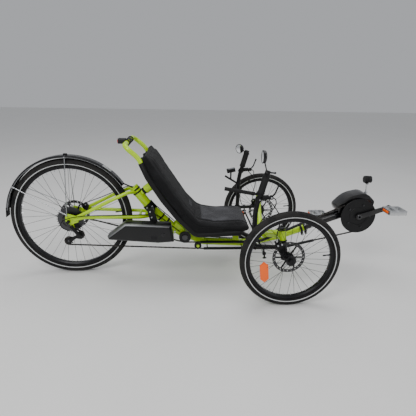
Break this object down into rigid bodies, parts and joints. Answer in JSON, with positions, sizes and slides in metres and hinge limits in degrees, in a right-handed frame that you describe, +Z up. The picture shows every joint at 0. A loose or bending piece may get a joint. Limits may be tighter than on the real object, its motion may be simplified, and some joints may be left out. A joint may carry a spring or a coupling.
{
  "type": "electric adult tricycle",
  "caption": "Recumbent tadpole tricycle: steered front wheels, sprung folding rear wheel, padded mesh seat, crank motor on a sliding boom, side battery, disc brakes, stick handlebars",
  "frame": {"origin": "centre of the footprint, on the ground", "axes": "+X forward along the trike, +Y to the rider's left, +Z up"},
  "size_m": [2.1228, 0.828, 0.758],
  "materials": {
    "frame_green": "glossy lime green powder coat",
    "black_metal": "satin black anodised alloy",
    "alloy": "machined bright alloy",
    "steel": "ground steel",
    "spoke_steel": "black stainless spokes",
    "chain_steel": "oiled chain",
    "tyre_rubber": "black tyre with a pale reflective stripe",
    "black_rubber": "soft black rubber",
    "black_plastic": "matt black plastic",
    "gloss_black": "glossy black plastic",
    "cushion_fabric": "black padded mesh",
    "mirror_glass": "black shell with a mirror face"
  },
  "bodies": {
    "chassis": {"main_frame": "frame_green", "boom_clamp": "black_metal", "seat_frame": "frame_green", "seat_cushion": "cushion_fabric", "rear_light": "black_plastic", "chain_guides": "black_plastic", "chain_front": "chain_steel"},
    "fold_axle": {"pivot_axle": "steel"},
    "idler": {"idler_pulley": "black_plastic"},
    "keeper": {"return_idler": "black_plastic"},
    "swingarm": {"swingarm": "frame_green", "elastomer_block": "black_rubber", "rear_axle": "steel", "battery": "gloss_black", "battery_mount": "black_metal", "rear_fender": "gloss_black", "rear_caliper": "black_metal", "chain_rear": "chain_steel", "derailleur_body": "black_metal"},
    "cage": {"derailleur_cage": "black_metal"},
    "guide_pulley": {"guide_pulley": "black_plastic"},
    "tension_pulley": {"tension_pulley": "black_plastic"},
    "rear_wheel": {"rear_tyre": "tyre_rubber", "rear_rim": "black_metal", "rear_spokes": "spoke_steel", "rear_hub": "black_metal"},
    "cassette": {"cassette": "steel"},
    "boom": {"boom": "black_metal", "motor_housing": "black_plastic", "headlight_post": "alloy"},
    "headlight": {"headlight": "black_plastic"},
    "crankset": {"chainring": "black_metal", "crank_right": "black_metal", "crank_left": "black_metal"},
    "pedal_right": {"pedal_right": "alloy"},
    "pedal_left": {"pedal_left": "alloy"},
    "steering_right": {"knuckle_right": "black_metal", "front_brake_right": "black_metal", "handlebar_right": "black_metal", "grip_right": "black_rubber", "wrist_bar": "black_rubber"},
    "steering_left": {"knuckle_left": "black_metal", "front_brake_left": "black_metal", "handlebar_left": "black_metal", "grip_left": "black_rubber", "display": "black_plastic"},
    "front_wheel_right": {"front_tyre_right": "tyre_rubber", "front_rim_right": "black_metal", "front_spokes_right": "spoke_steel", "front_hub_right": "black_metal"},
    "front_wheel_left": {"front_tyre_left": "tyre_rubber", "front_rim_left": "black_metal", "front_spokes_left": "spoke_steel", "front_hub_left": "black_metal"},
    "brake_lever_right": {"brake_lever_right": "black_metal"},
    "brake_lever_left": {"brake_lever_left": "black_metal"},
    "shifter": {"shifter_lever": "black_plastic"},
    "mirror_right": {"mirror_right": "mirror_glass"},
    "mirror_left": {"mirror_left": "mirror_glass"},
    "tie_rod": {"tie_rod": "black_metal"}
  },
  "joints": [
    {"name": "rear_fold", "type": "hinge", "parent": "chassis", "child": "fold_axle", "pos_m": [-0.10826, 0, 0.225], "axis": [0, 1, 0], "range_deg": [-135, 0], "deforming": ["chain_rear"]},
    {"name": "rear_suspension", "type": "hinge", "parent": "fold_axle", "child": "swingarm", "pos_m": [-0.10826, 0, 0.225], "axis": [0, 1, 0], "range_deg": [-0.4, 2], "stiffness_Nm_per_rad": 6000, "springref_deg": -0.69, "deforming": ["elastomer_block", "chain_rear"]},
    {"name": "rear_wheel_spin", "type": "hinge", "parent": "swingarm", "child": "rear_wheel", "pos_m": [-0.72226, 0, 0.325], "axis": [0, 1, 0], "continuous": true},
    {"name": "cassette_spin", "type": "hinge", "parent": "swingarm", "child": "cassette", "pos_m": [-0.72226, 0, 0.325], "axis": [0, 1, 0], "continuous": true},
    {"name": "idler_spin", "type": "hinge", "parent": "fold_axle", "child": "idler", "pos_m": [-0.10826, 0, 0.225], "axis": [0, 1, 0], "continuous": true},
    {"name": "return_idler_spin", "type": "hinge", "parent": "chassis", "child": "keeper", "pos_m": [-0.03626, 0, 0.174], "axis": [0, 1, 0], "continuous": true},
    {"name": "cage_pivot", "type": "hinge", "parent": "swingarm", "child": "cage", "pos_m": [-0.67426, 0, 0.243], "axis": [0, 1, 0], "range_deg": [-18, 14], "stiffness_Nm_per_rad": 1.5, "deforming": ["chain_rear"]},
    {"name": "guide_pulley_spin", "type": "hinge", "parent": "cage", "child": "guide_pulley", "pos_m": [-0.67426, 0, 0.243], "axis": [0, 1, 0], "continuous": true},
    {"name": "tension_pulley_spin", "type": "hinge", "parent": "cage", "child": "tension_pulley", "pos_m": [-0.73626, 0, 0.208], "axis": [0, 1, 0], "continuous": true},
    {"name": "boom_slide", "type": "slide", "parent": "chassis", "child": "boom", "axis": [0.9409, 0, 0.3387], "range_m": [-0.02, 0.05], "deforming": ["chain_front"]},
    {"name": "headlight_tilt", "type": "hinge", "parent": "boom", "child": "headlight", "pos_m": [0.90374, 0, 0.518], "axis": [0, 1, 0], "range_deg": [-15, 15]},
    {"name": "crank_spin", "type": "hinge", "parent": "boom", "child": "crankset", "pos_m": [0.85174, 0, 0.348], "axis": [0, 1, 0], "continuous": true},
    {"name": "pedal_right_spin", "type": "hinge", "parent": "crankset", "child": "pedal_right", "pos_m": [1.01342, -0.124, 0.40053], "axis": [0, 1, 0], "continuous": true},
    {"name": "pedal_left_spin", "type": "hinge", "parent": "crankset", "child": "pedal_left", "pos_m": [0.69006, 0.118, 0.29547], "axis": [0, 1, 0], "continuous": true},
    {"name": "steer_right", "type": "hinge", "parent": "chassis", "child": "steering_right", "pos_m": [0.36774, -0.318, 0.312], "axis": [-0.1187, 0.1357, 0.9836], "range_deg": [-28, 28]},
    {"name": "steer_left", "type": "hinge", "parent": "chassis", "child": "steering_left", "pos_m": [0.36774, 0.318, 0.312], "axis": [-0.1187, -0.1357, 0.9836], "range_deg": [-28, 28]},
    {"name": "tie_rod_swing", "type": "hinge", "parent": "steering_right", "child": "tie_rod", "pos_m": [0.27742, -0.32521, 0.24951], "axis": [-0.1187, 0.1357, 0.9836], "range_deg": [-28, 28]},
    {"name": "front_wheel_right_spin", "type": "hinge", "parent": "steering_right", "child": "front_wheel_right", "pos_m": [0.39174, -0.38, 0.243], "axis": [0, 1, 0], "continuous": true},
    {"name": "front_wheel_left_spin", "type": "hinge", "parent": "steering_left", "child": "front_wheel_left", "pos_m": [0.39174, 0.38, 0.243], "axis": [0, 1, 0], "continuous": true},
    {"name": "brake_lever_right_pull", "type": "hinge", "parent": "steering_right", "child": "brake_lever_right", "pos_m": [0.29807, -0.30323, 0.52806], "axis": [0, -1, 0], "range_deg": [0, 18], "stiffness_Nm_per_rad": 1, "springref_deg": -5.73},
    {"name": "brake_lever_left_pull", "type": "hinge", "parent": "steering_left", "child": "brake_lever_left", "pos_m": [0.29807, 0.30323, 0.52806], "axis": [0, -1, 0], "range_deg": [0, 18], "stiffness_Nm_per_rad": 1, "springref_deg": -5.73},
    {"name": "shift_lever_turn", "type": "hinge", "parent": "steering_right", "child": "shifter", "pos_m": [0.27338, -0.29985, 0.64752], "axis": [0, 1, 0], "range_deg": [-20, 20]},
    {"name": "mirror_right_turn", "type": "hinge", "parent": "steering_right", "child": "mirror_right", "pos_m": [0.26574, -0.3194, 0.65], "axis": [-0.2726, -0.0519, 0.9607], "range_deg": [-40, 40]},
    {"name": "mirror_left_turn", "type": "hinge", "parent": "steering_left", "child": "mirror_left", "pos_m": [0.26974, 0.3, 0.634], "axis": [0.26, -0.0104, 0.9656], "range_deg": [-40, 40]}
  ],
  "couplings": [
    {"joint": "steer_left", "follows": "steer_right", "ratio": 1},
    {"joint": "tie_rod_swing", "follows": "steer_right", "ratio": -1},
    {"joint": "cassette_spin", "follows": "crank_spin", "ratio": 2.4444},
    {"joint": "idler_spin", "follows": "crank_spin", "ratio": -2.9333},
    {"joint": "return_idler_spin", "follows": "crank_spin", "ratio": 5},
    {"joint": "guide_pulley_spin", "follows": "crank_spin", "ratio": -4},
    {"joint": "tension_pulley_spin", "follows": "crank_spin", "ratio": 4}
  ]
}
